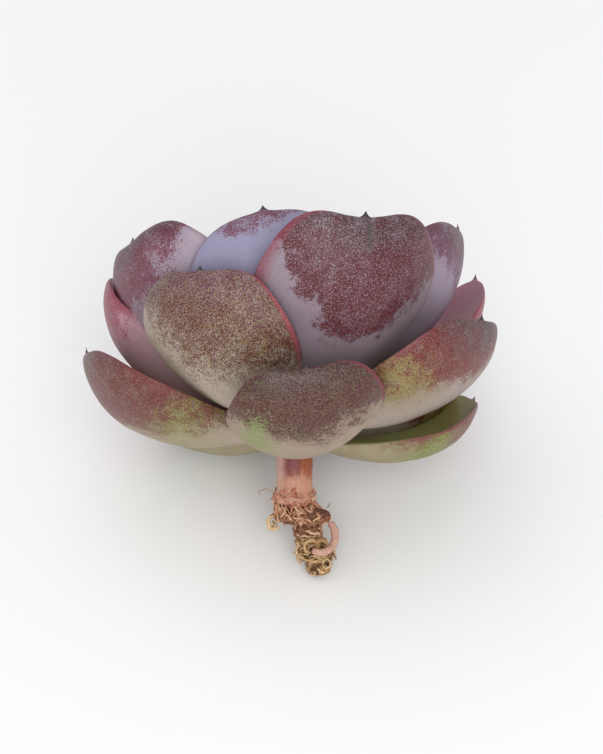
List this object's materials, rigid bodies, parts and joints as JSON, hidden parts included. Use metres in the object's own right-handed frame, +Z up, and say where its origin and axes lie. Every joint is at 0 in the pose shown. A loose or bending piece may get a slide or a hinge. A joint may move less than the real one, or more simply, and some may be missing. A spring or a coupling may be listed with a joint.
{
  "type": "bare-root succulent rosette",
  "caption": "Bare-root rosette succulent: broad cupped fleshy leaves in a spiral round a short pink stem with a dried root knot, lying on its root tip and back leaves.",
  "frame": {"origin": "on the surface that the plant lies on, under the middle of its box", "axes": "+Z up, +X to the right across the rosette, -Y towards the side that the leaves' backs and the stem face"},
  "size_m": [0.0846, 0.0744, 0.0788],
  "materials": {
    "low_leaf": "waxy skin, fine plum-brown speckles over olive and sage, satin",
    "standing_leaf": "waxy skin with a matt lilac-grey bloom, maroon speckles and a red edge",
    "heart_leaf": "young waxy skin, mostly smooth lilac-grey bloom, matt",
    "stem_skin": "smooth pink to tan skin, faint lengthwise streaks, scaly at the foot",
    "woody_root": "rough dried bark, dull",
    "dry_rootlets": "papery dried rootlets, dull",
    "pink_root": "smooth pinkish root skin",
    "root_hair": "thin dry hair root"
  },
  "bodies": {
    "root": {"stem": "stem_skin", "root_crown": "woody_root", "root_tangle": "dry_rootlets", "root_loop": "pink_root", "root_curl": "dry_rootlets", "left_root_hair": "root_hair", "right_root_hair": "root_hair", "leaf_01": "low_leaf", "leaf_02": "low_leaf", "leaf_03": "low_leaf", "leaf_04": "low_leaf", "leaf_05": "low_leaf", "leaf_06": "low_leaf", "leaf_07": "low_leaf", "leaf_08": "standing_leaf", "leaf_09": "standing_leaf", "leaf_10": "standing_leaf", "leaf_11": "standing_leaf", "leaf_12": "standing_leaf", "leaf_13": "standing_leaf", "leaf_14": "standing_leaf", "leaf_15": "standing_leaf", "leaf_16": "standing_leaf", "leaf_17": "heart_leaf", "leaf_18": "heart_leaf", "leaf_19": "heart_leaf", "leaf_20": "heart_leaf", "leaf_21": "heart_leaf", "leaf_22": "heart_leaf", "leaf_23": "heart_leaf", "leaf_24": "heart_leaf"}
  },
  "joints": []
}
